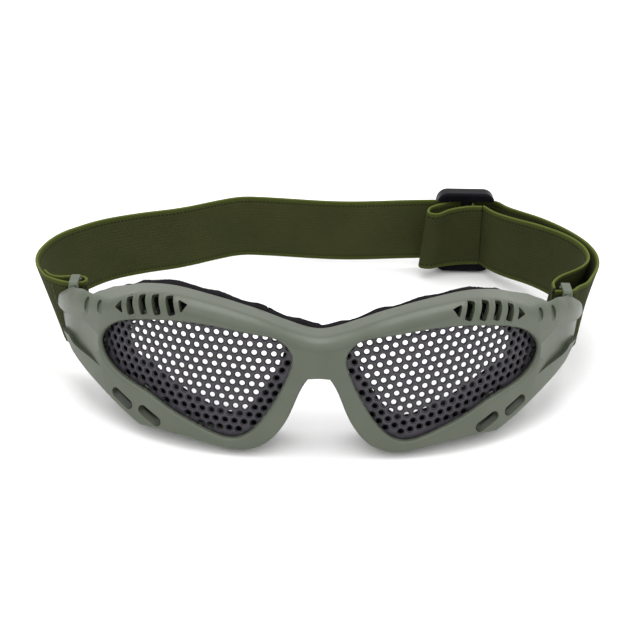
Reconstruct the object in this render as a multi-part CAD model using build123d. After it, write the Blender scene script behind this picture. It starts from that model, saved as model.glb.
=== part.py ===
from build123d import *
from math import asin, atan2, cos, degrees, hypot, radians, sin, sqrt, tan
import os

os.makedirs("parts", exist_ok=True)

# Mesh safety goggles: a one-piece moulded frame, two perforated steel eye panels, foam against the
# face, and one elastic strap that hooks over a post behind each ear of the frame.
# The model is built as the goggles are worn, X to the wearer's left, Y towards the wearer, Z up, and
# is then leant back until it stands on its two cheek lobes and the strap's slider.
# Sizes are in millimetres and angles in degrees.

# Front face of the frame, in plan
bridge_half = 18.5
face_radius = 83.0
face_sweep = 53.2
ear_radius = 34.0
ear_sweep = 27.0
ear_tail = 3.4

# Frame walls
shell_depth = 12.0
front_wall = 3.2
side_wall = 2.0
ear_wall = 3.6
temple_angle = 46.0
temple_wall = 2.0

# Frame outline, seen from the front
brow_rise = 17.3
lobe_drop = 34.2
brow_round = 5.0
brow_inner_round = 1.2
lower_round = 1.5

# Eye openings and the panels behind them
eye_width = 62.7
eye_height = 38.7
eye_inner = 9.1
eye_top = 8.8
eye_round = 1.3
lip_depth = 1.6
lip_undercut = 0.6
panel_lap = 1.4
panel_fold = 6.0
panel_gap = 0.3
panel_sheet = 0.8
hole_width = 2.4
hole_pitch = 3.7
hole_margin = 1.4
left_rows_angle = 14.0
right_rows_angle = -4.0

# Snap tabs that hold the panels, moulded with the frame and hooked over the panel's edge
tab_width = 4.5
tab_stem = 1.1
tab_hook = 1.0
tab_height = 0.9

# Recess between the brow and the wing at each temple
recess_depth = 1.7
recess_start = 41.0
recess_full = 50.0

# Brow vents, dimples and wing slots
vent_width = 2.0
vent_height = 7.0
vent_lean = 20.0
vent_tilt = 35.0
vent_corner = 0.6
vent_depth = 5.5
dimple_length = 5.2
dimple_width = 2.4
dimple_depth = 1.1
slot_length = 9.4
slot_width = 3.7

# Strap posts
post_x = 82.2
post_y = 46.0
post_radius = 1.5
post_rise = 2.6
post_foot_width = 5.0
post_foot_height = 2.2
barb_reach = 0.8
barb_height = 2.4

# Foam against the face
foam_thickness = 5.0
foam_band = 6.5
foam_proud = 1.9
foam_inset = 1.2
foam_lap = 0.8
foam_gap = 0.25
foam_seam = 17.0

# Elastic strap
strap_width = 25.0
strap_thickness = 1.3
strap_half_span = 99.2
strap_reach = 132.0
strap_bottom = -13.6
strap_tilt = 3.0
strap_gap = 0.35

# Slider
slider_x = 57.0
slider_width = 23.0
slider_bar = 3.4
slider_member = 3.2
slider_plate = 2.3
slider_corner = 4.5
slider_edge = 1.2
slot_below = 0.4
slot_above = 0.9

# Working values
overrun = 20.0
tall = 2 * (brow_rise + lobe_drop)
face_end = bridge_half + face_radius * sin(radians(face_sweep))
ear_turn = sin(radians(face_sweep + ear_sweep)) - sin(radians(face_sweep))
half_span = face_end + ear_radius * ear_turn
frame_reach = face_radius
redraw_steps = 24
panel_depth = front_wall + panel_gap
panel_back = panel_depth + panel_sheet


def face_point(angle, depth):
    """Point in plan on the face arc, at an angle from the bridge and a depth behind the front."""
    radius = face_radius - depth
    return (bridge_half + radius * sin(radians(angle)), face_radius - radius * cos(radians(angle)))


def half_plan(depth):
    """Half of the frame's plan curve, at a depth behind the front face."""
    flat = Line((0, depth), (bridge_half, depth))
    face = JernArc(flat @ 1, (1, 0), face_radius - depth, face_sweep)
    ear = JernArc(face @ 1, face % 1, ear_radius - depth, ear_sweep)
    tail = Line(ear @ 1, ear @ 1 + (ear % 1) * ear_tail)
    return [flat, face, ear, tail]


def front_y(x, depth):
    """How far the plan curve at a depth lies behind the bridge, at a distance from the middle."""
    x = abs(x)
    if x <= bridge_half:
        return depth
    if x <= face_point(face_sweep, depth)[0]:
        return face_radius - sqrt((face_radius - depth) ** 2 - (x - bridge_half) ** 2)
    centre_x, centre_y = face_point(face_sweep, ear_radius)
    return centre_y - sqrt(max((ear_radius - depth) ** 2 - (x - centre_x) ** 2, 0))


def slab(near, far):
    """Curved slab between two depths behind the front face, over the full height."""
    front = half_plan(near)
    back = half_plan(far)
    ends = [Line(front[-1] @ 1, back[-1] @ 1), Line(front[0] @ 0, back[0] @ 0)]
    half = extrude(make_face(front + back + ends), amount=tall, both=True)
    return half + mirror(half, about=Plane.YZ)


def upright(sketch):
    """Extrude a front-view sketch towards the wearer."""
    return extrude(sketch, amount=frame_reach, dir=(0, 1, 0))


def beyond(angle, side):
    """All that lies past the radial plane at an angle, on one side of the frame."""
    near = face_point(angle, -overrun)
    far = face_point(angle, shell_depth + overrun)
    back = face_radius + half_span
    corners = [near, far, (far[0], back), (3 * half_span, back), (3 * half_span, near[1])]
    return extrude(make_face(Polyline([(side * x, y) for x, y in corners], close=True)), amount=tall, both=True)


def wall_plane(x, z, tilt=0.0, sink=0.0):
    """Plane on the front face, facing out of it, tilted upwards and sunk behind the face."""
    angle = asin(min(max((x - bridge_half) / face_radius, 0), 1))
    out = Vector(sin(angle), -cos(angle), 0)
    normal = out * cos(radians(tilt)) + Vector(0, 0, 1) * sin(radians(tilt))
    origin = Vector(x, front_y(x, 0), z) - out * sink
    return Plane(origin=origin, x_dir=Vector(cos(angle), sin(angle), 0), z_dir=normal)


# Outlines, as shares of the frame's half span and of its rise or drop
brow_shares = [(0, 0.30), (0.093, 0.42), (0.239, 0.711), (0.384, 0.913), (0.52, 1.0),
               (0.632, 0.93), (0.729, 0.734), (0.822, 0.503), (0.88, 0.44), (0.945, 0.43),
               (1.07, 0.40)]
lobe_shares = [(0.038, -0.262), (0.057, -0.34), (0.100, -0.614), (0.140, -0.80), (0.19, -0.93),
               (0.29, -1.0), (0.39, -0.956), (0.54, -0.898), (0.644, -0.888)]
wing_shares = [(0.644, -0.888), (0.723, -0.76), (0.803, -0.614), (0.889, -0.456), (0.965, -0.28),
               (1.07, -0.03)]
arch_share = -0.254
ear_shares = [(0.66, 0.60), (0.74, 0.47), (0.87, 0.38), (0.965, 0.14), (1.0, -0.12),
              (0.96, -0.42), (0.86, -0.62), (0.72, -0.75)]
eye_shares = [(0.0, 0.235), (0.053, 0.13), (0.18, 0.07), (0.365, 0.016), (0.55, 0.0),
              (0.74, 0.035), (0.90, 0.12), (0.975, 0.235), (1.0, 0.345), (0.975, 0.475),
              (0.90, 0.585), (0.75, 0.69), (0.62, 0.81), (0.50, 0.90), (0.39, 0.975),
              (0.29, 1.0), (0.20, 0.925), (0.12, 0.765), (0.045, 0.545), (0.006, 0.39)]
recess_shares = [(0.795, 0.07), (0.888, 0.023), (1.07, -0.03), (1.07, -0.20), (0.948, -0.222),
                 (0.909, -0.289), (0.842, -0.342), (0.79, -0.40)]

# Places on the front face, as shares of the half span and of the brow's rise or the lobe's drop
vent_shares = [(0.5265, 0.815, 1.0), (0.579, 0.79, 1.03), (0.6285, 0.745, 1.0), (0.676, 0.67, 0.93)]
tip_vent_shares = [(0.480, 0.845, -1), (0.7185, 0.575, 1)]
dimple_shares = [(0.797, 0.40), (0.853, 0.305)]
slot_shares = [(0.714, -0.649), (0.609, -0.757)]
tab_shares = [0.10, 0.30, 0.55, 0.65, 0.94]


def sized(shares, width, height):
    """Points from shares of a width and a height."""
    return [(x_share * width, z_share * height) for x_share, z_share in shares]


def brow_line(lift):
    """Top edge of the frame as one curve across both eyes, lifted by a height."""
    right = sized(brow_shares, half_span, brow_rise)
    points = [(-x, z) for x, z in reversed(right[1:])] + right
    return Spline([(x, z + lift) for x, z in points])


def below_brow(lift):
    """Front-view sketch of all that lies below the lifted brow line."""
    top = brow_line(lift)
    start, end = top @ 0, top @ 1
    sides = Polyline(end, (end.X, -tall), (start.X, -tall), start)
    return Plane.XZ * make_face([top, sides])


def outline():
    """Whole outline of the frame seen from the front."""
    top = brow_line(0)
    arch = (0, arch_share * lobe_drop)
    edges = [top]
    for side in (1, -1):
        inner = Spline([(side * x, z) for x, z in sized(lobe_shares, half_span, lobe_drop)])
        outer = Spline([(side * x, z) for x, z in sized(wing_shares, half_span, lobe_drop)])
        edges += [Line(arch, inner @ 0), inner, outer]
        edges.append(Line(outer @ 1, top @ (1 if side > 0 else 0)))
    return Plane.XZ * make_face(edges)


def redrawn(sketch):
    """A sketch with each of its offset curves drawn again as a spline."""
    edges = []
    for edge in sketch.wire().edges():
        if edge.geom_type == GeomType.LINE:
            edges.append(edge)
        else:
            edges.append(Spline([edge @ (step / redraw_steps) for step in range(redraw_steps + 1)]))
    return make_face(edges)


def eye_outline(side, grow):
    """Opening in front of one eye, grown all round."""
    points = [(side * (eye_inner + x), eye_top - z) for x, z in sized(eye_shares, eye_width, eye_height)]
    face = Plane.XZ * make_face(Spline(points, periodic=True))
    return redrawn(offset(face, amount=grow)) if grow else face


def face_edges(body, depth, low, high):
    """Edges that run along the curved face at a depth, between two heights."""
    found = []
    for edge in body.edges():
        points = [edge @ share for share in (0.1, 0.5, 0.9)]
        on_face = all(abs(p.Y - front_y(p.X, depth)) < panel_gap / 4 for p in points)
        if on_face and abs((edge % 0.5).Z) < 0.95 and low < points[1].Z < high:
            found.append(edge)
    return found


def ear_end():
    """Cutter that rounds the rear end of both ears, seen from the side."""
    tip = (half_plan(0)[-1] @ 1).Y
    curve = Spline([(y * tip, z) for y, z in sized(ear_shares, 1, brow_rise)])
    start, end = curve @ 0, curve @ 1
    far = tip + overrun
    rest = Polyline(end, (end.X, -tall), (far, -tall), (far, tall), (start.X, tall), start)
    return extrude(Plane.YZ * make_face([curve, rest]), amount=half_span + overrun, both=True)


def shell_blank():
    """Outside of the frame with its rounded brow and lower edge."""
    body = upright(outline()) & slab(0, shell_depth)
    body = body.fillet(brow_round, face_edges(body, 0, brow_rise / 4, tall))
    body = body.fillet(lower_round, face_edges(body, 0, -tall, 0))
    return body - ear_end()


def shell_hollow():
    """Space behind the front wall, over both eyes and the nose, closed at the temples."""
    inside = redrawn(offset(outline(), amount=-side_wall)) & below_brow(-1.15 * side_wall)
    hollow = upright(inside) & slab(front_wall, shell_depth + overrun)
    hollow = hollow.fillet(brow_inner_round, face_edges(hollow, front_wall, 0, tall))
    closed = temple_angle - degrees(temple_wall / face_radius)
    for side in (1, -1):
        hollow -= beyond(closed, side)
    return hollow


def temple_recess():
    """Shallow recess between the brow and the wing, running out towards the eye opening."""
    sketch = Plane.XZ * make_face(Polyline(sized(recess_shares, half_span, lobe_drop), close=True))
    ramp = [(0, -overrun), face_point(recess_start, -overrun), face_point(recess_start, 0),
            face_point(recess_full, recess_depth), face_point(recess_full, overrun), (0, face_radius)]
    keep = extrude(make_face(Polyline(ramp, close=True)), amount=tall, both=True)
    return upright(sketch) & slab(-overrun / 4, recess_depth) - keep


def brow_vents():
    """Row of slanted vents over one eye, with a pointed vent at each end."""
    vents = []
    for x_share, z_share, height_share in vent_shares:
        plane = wall_plane(x_share * half_span, z_share * brow_rise, vent_tilt, brow_round / 4)
        shape = RectangleRounded(vent_width, height_share * vent_height, vent_corner)
        vents.append(extrude(plane * Rot(0, 0, -vent_lean) * shape, amount=vent_depth, both=True))
    for x_share, z_share, way in tip_vent_shares:
        plane = wall_plane(x_share * half_span, z_share * brow_rise, vent_tilt, brow_round / 4)
        half = 0.38 * vent_height
        corners = [(-way * vent_width / 2, half), (-way * vent_width / 2, -half), (way * vent_width * 0.6, 0)]
        shape = make_face(FilletPolyline(corners, radius=vent_corner / 2, close=True))
        vents.append(extrude(plane * Rot(0, 0, -vent_lean) * shape, amount=vent_depth, both=True))
    return vents


def brow_dimples():
    """Two shallow oval dimples in the brow beside the ear."""
    dimples = []
    for x_share, z_share in dimple_shares:
        plane = wall_plane(x_share * half_span, z_share * brow_rise, vent_tilt, dimple_depth)
        shape = Rot(0, 0, -vent_lean) * Ellipse(dimple_width / 2, dimple_length / 2)
        dimples.append(extrude(plane * shape, amount=overrun / 4))
    return dimples


def wing_slots():
    """Two rounded slots through the wing below one eye."""
    slots = []
    rise = (slot_shares[0][1] - slot_shares[1][1]) * lobe_drop
    run = (slot_shares[0][0] - slot_shares[1][0]) * half_span
    for x_share, z_share in slot_shares:
        plane = wall_plane(x_share * half_span, z_share * lobe_drop)
        shape = Rot(0, 0, 1.4 * degrees(atan2(rise, run))) * SlotOverall(slot_length, slot_width)
        slots.append(extrude(plane * shape, amount=2 * front_wall, both=True))
    return slots


def panel_tabs():
    """Snap tabs round one eye panel: a stem beside the panel and a hook over its edge."""
    tabs = []
    path = eye_outline(1, panel_lap + panel_gap + tab_stem / 2).wire()
    middle = Vector(eye_inner + eye_width / 2, 0, eye_top - eye_height / 2)
    hook_zone = slab(panel_back + panel_gap, panel_back + panel_gap + tab_height)
    stem_zone = slab(lip_depth, panel_back + panel_gap + tab_height)
    hook_reach = tab_hook + panel_gap
    for share in tab_shares:
        spot, along = path.position_at(share), path.tangent_at(share)
        inward = along.cross(Vector(0, 1, 0))
        if inward.dot(middle - spot) < 0:
            inward = inward * -1
        place = Plane(origin=spot, x_dir=inward, z_dir=(0, -1, 0))
        stem = place * Rectangle(tab_stem, tab_width)
        hook = place * Pos(hook_reach / 2, 0, 0) * Rectangle(tab_stem + hook_reach, tab_width)
        tabs.append((upright(stem) & stem_zone) + (upright(hook) & hook_zone))
    return tabs


def strap_tilting():
    """Turn that lifts the back of the strap about the posts."""
    return Pos(0, post_y, 0) * Rot(strap_tilt, 0, 0) * Pos(0, -post_y, 0)


def strap_post():
    """Post for the strap's loop: a foot from the temple wall, an upright and a barbed tip."""
    root = face_point(temple_angle + degrees(temple_wall / face_radius), front_wall + side_wall)
    length = hypot(post_x - root[0], post_y - root[1])
    turn = degrees(atan2(post_y - root[1], post_x - root[0]))
    top = strap_bottom - strap_gap
    middle = ((post_x + root[0]) / 2, (post_y + root[1]) / 2)
    foot = Pos(*middle, top - post_foot_height) * Rot(0, 0, turn)
    foot = foot * extrude(SlotOverall(length + post_foot_width, post_foot_width), amount=post_foot_height)
    height = strap_width + strap_gap + post_rise + post_foot_height / 2
    bar = Pos(post_x, post_y, top - post_foot_height / 2 + height / 2) * Cylinder(post_radius, height)
    tip_z = top - post_foot_height / 2 + height
    barb = Pos(post_x, post_y, tip_z - barb_height / 2)
    barb = barb * Cone(post_radius + barb_reach, post_radius / 2, barb_height)
    return strap_tilting() * (foot + bar + barb)


def frame_shell():
    """Moulded frame of the goggles."""
    body = shell_blank() - shell_hollow()
    for side in (1, -1):
        body -= beyond(temple_angle, side) & slab(ear_wall, shell_depth + overrun)
        body -= upright(eye_outline(side, 0))
    rims = []
    for edge in face_edges(body, 0, -tall, tall):
        middle = edge @ 0.5
        flat = Vertex(abs(middle.X), 0, middle.Z)
        if eye_outline(1, 0).wire().distance_to(flat) < panel_gap / 4:
            rims.append(edge)
    body = body.fillet(eye_round, rims)
    for side in (1, -1):
        body -= upright(eye_outline(side, lip_undercut)) & slab(lip_depth, front_wall + side_wall)
    cutters = [temple_recess()] + brow_vents() + brow_dimples() + wing_slots()
    body -= cutters
    body -= [mirror(cutter, about=Plane.YZ) for cutter in cutters]
    tabs = panel_tabs() + [strap_post()]
    body += tabs
    body += [mirror(tab, about=Plane.YZ) for tab in tabs]
    return body


def folded_slab(near, far):
    """Slab between two depths, bent in flats as thin perforated sheet bends between its holes."""
    folds = range(int(face_sweep / panel_fold) + 1)
    front = [(0, near)] + [face_point(fold * panel_fold, near) for fold in folds]
    back = [(0, far)] + [face_point(fold * panel_fold, far) for fold in folds]
    half = extrude(make_face(Polyline(front + back[::-1], close=True)), amount=tall, both=True)
    return half + mirror(half, about=Plane.YZ)


def panel_spot(s, z):
    """Place on the middle of the folded panel, at a distance from the middle along the sheet."""
    radius = face_radius - panel_depth - panel_sheet / 2
    fold_length = 2 * radius * sin(radians(panel_fold) / 2)
    run = max(abs(s) - bridge_half, 0)
    fold = int(run / fold_length)
    start = face_point(fold * panel_fold, panel_depth + panel_sheet / 2)
    turn = (fold + 0.5) * panel_fold if run else 0
    along = run - fold * fold_length
    x = start[0] + along * cos(radians(turn)) - max(bridge_half - abs(s), 0)
    y = start[1] + along * sin(radians(turn))
    way = 1 if s > 0 else -1
    return Pos(way * x, y, z) * Rot(0, 0, way * turn) * Rot(90, 0, 0)


def lens_panel(side, rows_angle):
    """Perforated steel panel, bent to the curve of the frame."""
    sheet = upright(eye_outline(side, panel_lap)) & folded_slab(panel_depth, panel_back)
    holed = eye_outline(side, panel_lap - hole_margin).faces()[0]
    middle_s = side * (eye_inner + eye_width / 2)
    middle_z = eye_top - eye_height / 2
    count = int(eye_width / hole_pitch)
    punch = extrude(RegularPolygon(hole_width / sqrt(3), 6), amount=panel_sheet, both=True)
    turn = radians(rows_angle)
    holes = []
    for row in range(-count, count + 1):
        for column in range(-count, count + 1):
            across = (column + (row % 2) / 2) * hole_pitch
            up = row * hole_pitch * sqrt(3) / 2
            s = middle_s + across * cos(turn) - up * sin(turn)
            z = middle_z + across * sin(turn) + up * cos(turn)
            spot = panel_spot(s, z)
            if s * side > 0 and holed.is_inside(Vector(spot.position.X, 0, z)):
                holes.append(spot * punch)
    return sheet - holes


def foam_zone():
    """Slab behind the frame's rear edge, between the temples, that the foam fills."""
    near = shell_depth + foam_gap
    zone = slab(near, near + foam_thickness)
    for side in (1, -1):
        zone -= beyond(temple_angle, side)
    return zone


def brow_foam():
    """Foam strips along the brow, butted beside the bridge: right then left."""
    band = below_brow(foam_proud) - below_brow(foam_proud - foam_band)
    strip = upright(band) & foam_zone()
    seam = Pos(-foam_seam - half_span, 0, 0) * Box(2 * half_span - foam_gap, 4 * half_span, 2 * tall)
    rest = Pos(-foam_seam + half_span, 0, 0) * Box(2 * half_span - foam_gap, 4 * half_span, 2 * tall)
    return strip & seam, strip & rest


def cheek_foam(side):
    """Foam strip that runs under one eye, from the nose to the temple."""
    band = upright(redrawn(offset(outline(), amount=-foam_inset)) & below_brow(foam_proud - foam_band - foam_gap))
    half = Pos(side * (half_span + foam_gap / 2), 0, 0) * Box(2 * half_span, 4 * half_span, 2 * tall)
    window = upright(eye_outline(side, -foam_lap))
    window += Pos(0, 0, foam_band) * window
    closed = face_point(temple_angle, shell_depth)[0] - foam_band
    window &= Box(2 * closed, 4 * half_span, 2 * tall)
    return (band & foam_zone() & half) - window


# Route of the strap in plan, as shares of its half span and its reach
right_route_shares = [(0.70, 1.0), (0.745, 0.932), (0.867, 0.8145), (0.958, 0.712), (1.0, 0.606),
                      (1.0, 0.53), (0.968, 0.466)]
inner_route_shares = [(0.850, 0.428), (0.925, 0.475), (0.9637, 0.5227), (0.9556, 0.6136), (0.907, 0.697),
                      (0.8266, 0.7727), (0.741, 0.8333), (0.675, 0.90), (0.643, 0.953)]
left_route_shares = [(-0.968, 0.466), (-1.0, 0.53), (-1.0, 0.606), (-0.9375, 0.716), (-0.8165, 0.8106),
                     (-0.665, 0.837), (-0.534, 0.890), (-0.413, 0.966), (-0.325, 1.0)]


def ribbon(points):
    """Strap webbing along a plan route, each bend as wide as its runs allow."""
    points = [Vector(*point) for point in points]
    radii = []
    for before, corner, after in zip(points, points[1:], points[2:]):
        run_in, run_out = corner - before, after - corner
        turn = radians(run_in.get_angle(run_out))
        radii.append(0.45 * min(run_in.length, run_out.length) / tan(turn / 2))
    route = FilletPolyline(points, radius=radii)
    base = trace(route, line_width=strap_thickness)
    return Pos(0, 0, strap_bottom) * extrude(base, amount=strap_width)


def post_bend(side):
    """Route points of the strap round one post, from the outer layer to the inner one."""
    room = post_radius + strap_gap + strap_thickness / 2
    outer = post_x + room + strap_gap * 3
    inner = post_x - room - strap_gap * 3
    front = post_y - room
    rear = post_y + 2 * room
    points = [(post_x + 3.3 * room, rear + 2 * room), (outer, rear), (outer, front), (inner, front), (inner, rear - strap_gap)]
    return [(side * x, y) for x, y in points]


def strap_band():
    """Long run of the strap: left loop, back run, right post and the inner layer."""
    left = sized(left_route_shares, strap_half_span, strap_reach)
    right = sized(right_route_shares, strap_half_span, strap_reach)
    inner = sized(inner_route_shares, strap_half_span, strap_reach)
    loop = list(reversed(post_bend(-1)))
    band = ribbon(loop + left + right + post_bend(1) + inner)
    lap = strap_thickness * 0.9
    start, seam, run = Vector(*loop[0]), Vector(*loop[3]), Vector(*loop[4])
    along = (run - seam).normalized()
    side_step = Vector(-along.Y, along.X) * -lap
    close = [start, seam + side_step, run + side_step]
    band += ribbon([(p.X, p.Y) for p in close])
    return band


def slider_heights():
    """Bottom and top of the slider's window."""
    return strap_bottom - slot_below, strap_bottom + strap_width + slot_above


def strap_slider():
    """Plastic slider: two rear side bars, a forward centre bar and thick top and bottom members."""
    low, high = slider_heights()
    side_y = strap_thickness / 2 + strap_gap
    bar_y = side_y + strap_thickness + strap_gap
    depth = side_y + bar_y + 2 * slider_plate
    middle_y = (side_y - bar_y) / 2
    height = high - low + 2 * slider_member
    blank = extrude(Plane.XZ * RectangleRounded(slider_width, height, slider_corner), amount=depth / 2, both=True)
    blank = blank.fillet(slider_edge, blank.faces().sort_by(Axis.Y)[0].edges() + blank.faces().sort_by(Axis.Y)[-1].edges())
    blank = Pos(0, middle_y, 0) * blank
    window = Box(slider_width - 2 * slider_bar, 2 * depth, high - low)
    passage = Pos(0, side_y - depth, 0) * Box(2 * slider_width, 2 * depth, high - low)
    bar = Pos(0, -bar_y - slider_plate / 2, 0) * Box(slider_bar, slider_plate, high - low)
    bar = bar.fillet(slider_plate / 3, bar.edges().filter_by(Axis.Z))
    return Pos(slider_x, strap_reach, (high + low) / 2) * (blank - window - passage + bar)


def strap_end_loop():
    """End of the strap sewn round the slider's centre bar, with the loose loop beside it."""
    layer = strap_thickness / 2
    rear = -(layer + strap_gap) - layer
    bar_front = rear - layer - strap_gap - slider_plate
    front = bar_front - strap_gap - layer
    right = slider_bar / 2 + strap_gap + layer
    tip = slider_width * 0.63
    route = [(right + slider_bar, front - layer), (0, front), (-tip * 0.55, front - slider_bar),
             (-tip, front - 1.6 * slider_bar), (-tip * 1.05, front - slider_plate * 0.3),
             (-tip * 0.45, rear - slider_plate * 0.4), (0, rear), (right, rear), (right, front + layer)]
    return Pos(slider_x, strap_reach, 0) * ribbon(route)


def worn_parts():
    """Every node as it is worn."""
    foam_right, foam_left = brow_foam()
    worn = {"frame_shell": frame_shell(),
            "lens_mesh_left": lens_panel(1, left_rows_angle),
            "lens_mesh_right": lens_panel(-1, right_rows_angle),
            "foam_brow_left": foam_left, "foam_brow_right": foam_right,
            "foam_cheek_left": cheek_foam(1), "foam_cheek_right": cheek_foam(-1)}
    strap = {"strap_band": strap_band(), "strap_end_loop": strap_end_loop(), "strap_slider": strap_slider()}
    for name, part in strap.items():
        worn[name] = strap_tilting() * part
    return worn


def lean_angle():
    """How far the worn goggles lean back until the slider's rounded edge and the lobes are level."""
    low = slider_heights()[0] - slider_member
    rear = strap_reach + strap_thickness / 2 + strap_gap + slider_plate
    edge = (strap_tilting() * Pos(0, rear - slider_edge, low + slider_edge)).position
    lobe_x = lobe_shares[5][0] * half_span
    lobe = Vector(0, front_y(lobe_x, shell_depth), -lobe_drop)
    span = edge - lobe
    return degrees(atan2(span.Z, span.Y) - asin(slider_edge / span.length))


def resting_parts():
    """Every node standing on the floor, with the middle of its base at the origin."""
    lean = Rot(-lean_angle(), 0, 0)
    leant = {name: lean * part.solid() for name, part in worn_parts().items()}
    box = Compound(list(leant.values())).bounding_box()
    stand = Pos(-box.center().X, -box.center().Y, -box.min.Z)
    return {name: stand * part for name, part in leant.items()}


for name, part in resting_parts().items():
    export_step(part, f"parts/{name}.step")
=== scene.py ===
import math

import bmesh
import bpy
from mathutils import Matrix, Vector
from mathutils.bvhtree import BVHTree
from mathutils.geometry import delaunay_2d_cdt
from mathutils.kdtree import KDTree


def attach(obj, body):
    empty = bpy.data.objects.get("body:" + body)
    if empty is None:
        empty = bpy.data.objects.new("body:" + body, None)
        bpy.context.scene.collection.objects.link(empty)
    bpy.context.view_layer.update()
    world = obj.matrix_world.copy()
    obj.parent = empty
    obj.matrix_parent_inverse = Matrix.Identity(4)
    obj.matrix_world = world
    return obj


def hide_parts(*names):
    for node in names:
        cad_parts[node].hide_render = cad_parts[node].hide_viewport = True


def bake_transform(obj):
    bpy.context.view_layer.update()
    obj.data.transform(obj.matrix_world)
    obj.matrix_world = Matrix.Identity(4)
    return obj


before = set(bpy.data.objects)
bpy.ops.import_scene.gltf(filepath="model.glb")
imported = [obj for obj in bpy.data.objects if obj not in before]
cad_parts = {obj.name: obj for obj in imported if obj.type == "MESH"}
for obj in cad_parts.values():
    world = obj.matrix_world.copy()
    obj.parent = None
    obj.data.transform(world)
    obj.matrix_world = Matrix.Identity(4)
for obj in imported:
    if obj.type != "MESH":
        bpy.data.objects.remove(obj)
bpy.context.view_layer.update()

# Real sizes, in metres and radians. The worn frame is the one that the goggles are drawn in: origin at
# the middle of the bridge's front face, X to the wearer's left, Y towards the wearer, Z up.
MM = 0.001
LEAN = math.radians(10.0169)
WORN_ORIGIN = Vector((0, -65.069, 35.844)) * MM
WORN = Matrix.Translation(WORN_ORIGIN) @ Matrix.Rotation(-LEAN, 4, "X")
SIDES = (("left", 1), ("right", -1))

# The face is flat across the bridge and bent to a radius on both sides of it
BRIDGE_HALF = 18.5 * MM
FACE_RADIUS = 83.0 * MM
HALF_SPAN = 91.24 * MM

# The strap is drawn in the worn frame, and then tilted about the posts
STRAP_TILT = math.radians(4.8)
POST_Y = 45.6 * MM
STRAP = (WORN @ Matrix.Translation((0, POST_Y, 0)) @ Matrix.Rotation(STRAP_TILT, 4, "X")
         @ Matrix.Translation((0, -POST_Y, 0)))
STRAP_WIDTH = 25.0 * MM
STRAP_THICK = 1.3 * MM
STRAP_REACH = 132.0 * MM
STRAP_BOTTOM = -16.0 * MM
RIB_PITCH = 0.78 * MM


def covered(value, start, length):
    """How much of a length past a start is behind a value, from 0 to 1."""
    return min(max((value - start) / length, 0.0), 1.0)


# Materials: the darker and the lighter shade of each, as linear colours
FRAME_SHADES = ((0.058, 0.070, 0.046), (0.070, 0.083, 0.056))
STEEL_SHADES = ((0.034, 0.031, 0.038), (0.052, 0.047, 0.057))
# Painted shadow in the dished rims round the panel's holes
HOLE_SHADOW = (0.002, 0.002, 0.003)
FOAM_SHADES = ((0.006, 0.005, 0.006), (0.012, 0.010, 0.012))
SLIDER_SHADES = ((0.003, 0.003, 0.004), (0.005, 0.005, 0.007))
THREAD_SHADES = ((0.034, 0.040, 0.019), (0.062, 0.072, 0.034))
PAPER_SHADES = ((0.905, 0.905, 0.905), (0.925, 0.925, 0.925))
# The webbing's two faces as lit and shaded copies of one colour: painted light on one face, painted shade on
# the other
LIT_FACE_SHADES = ((0.027, 0.030, 0.0090), (0.062, 0.069, 0.0210))
SHADED_FACE_SHADES = ((0.022, 0.025, 0.0078), (0.055, 0.061, 0.0190))
# Lighter braid yarn at the webbing's edges, and at full strength a painted highlight along the very edge
EDGE_YARN_AND_HIGHLIGHT = (0.086, 0.107, 0.021)
DASH_SHADE = (0.006, 0.007, 0.003)
NOISE_ROUGHNESS = 0.55

# Webbing: pitches along and across it, then distances from its edges
PICK_PITCH = 0.85 * MM
FURROW_PITCH = 1.25 * MM
DASH_PITCH = 1.5 * MM
DASH_INSET = 1.9 * MM
DASH_HALF = 0.28 * MM
BRAID_INSETS = (2.2 * MM, 1.2 * MM)
# Where the painted highlight along each edge of the webbing starts and where it is full
HIGHLIGHT_RIM_INSETS = (0.5 * MM, 0.1 * MM)


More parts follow.
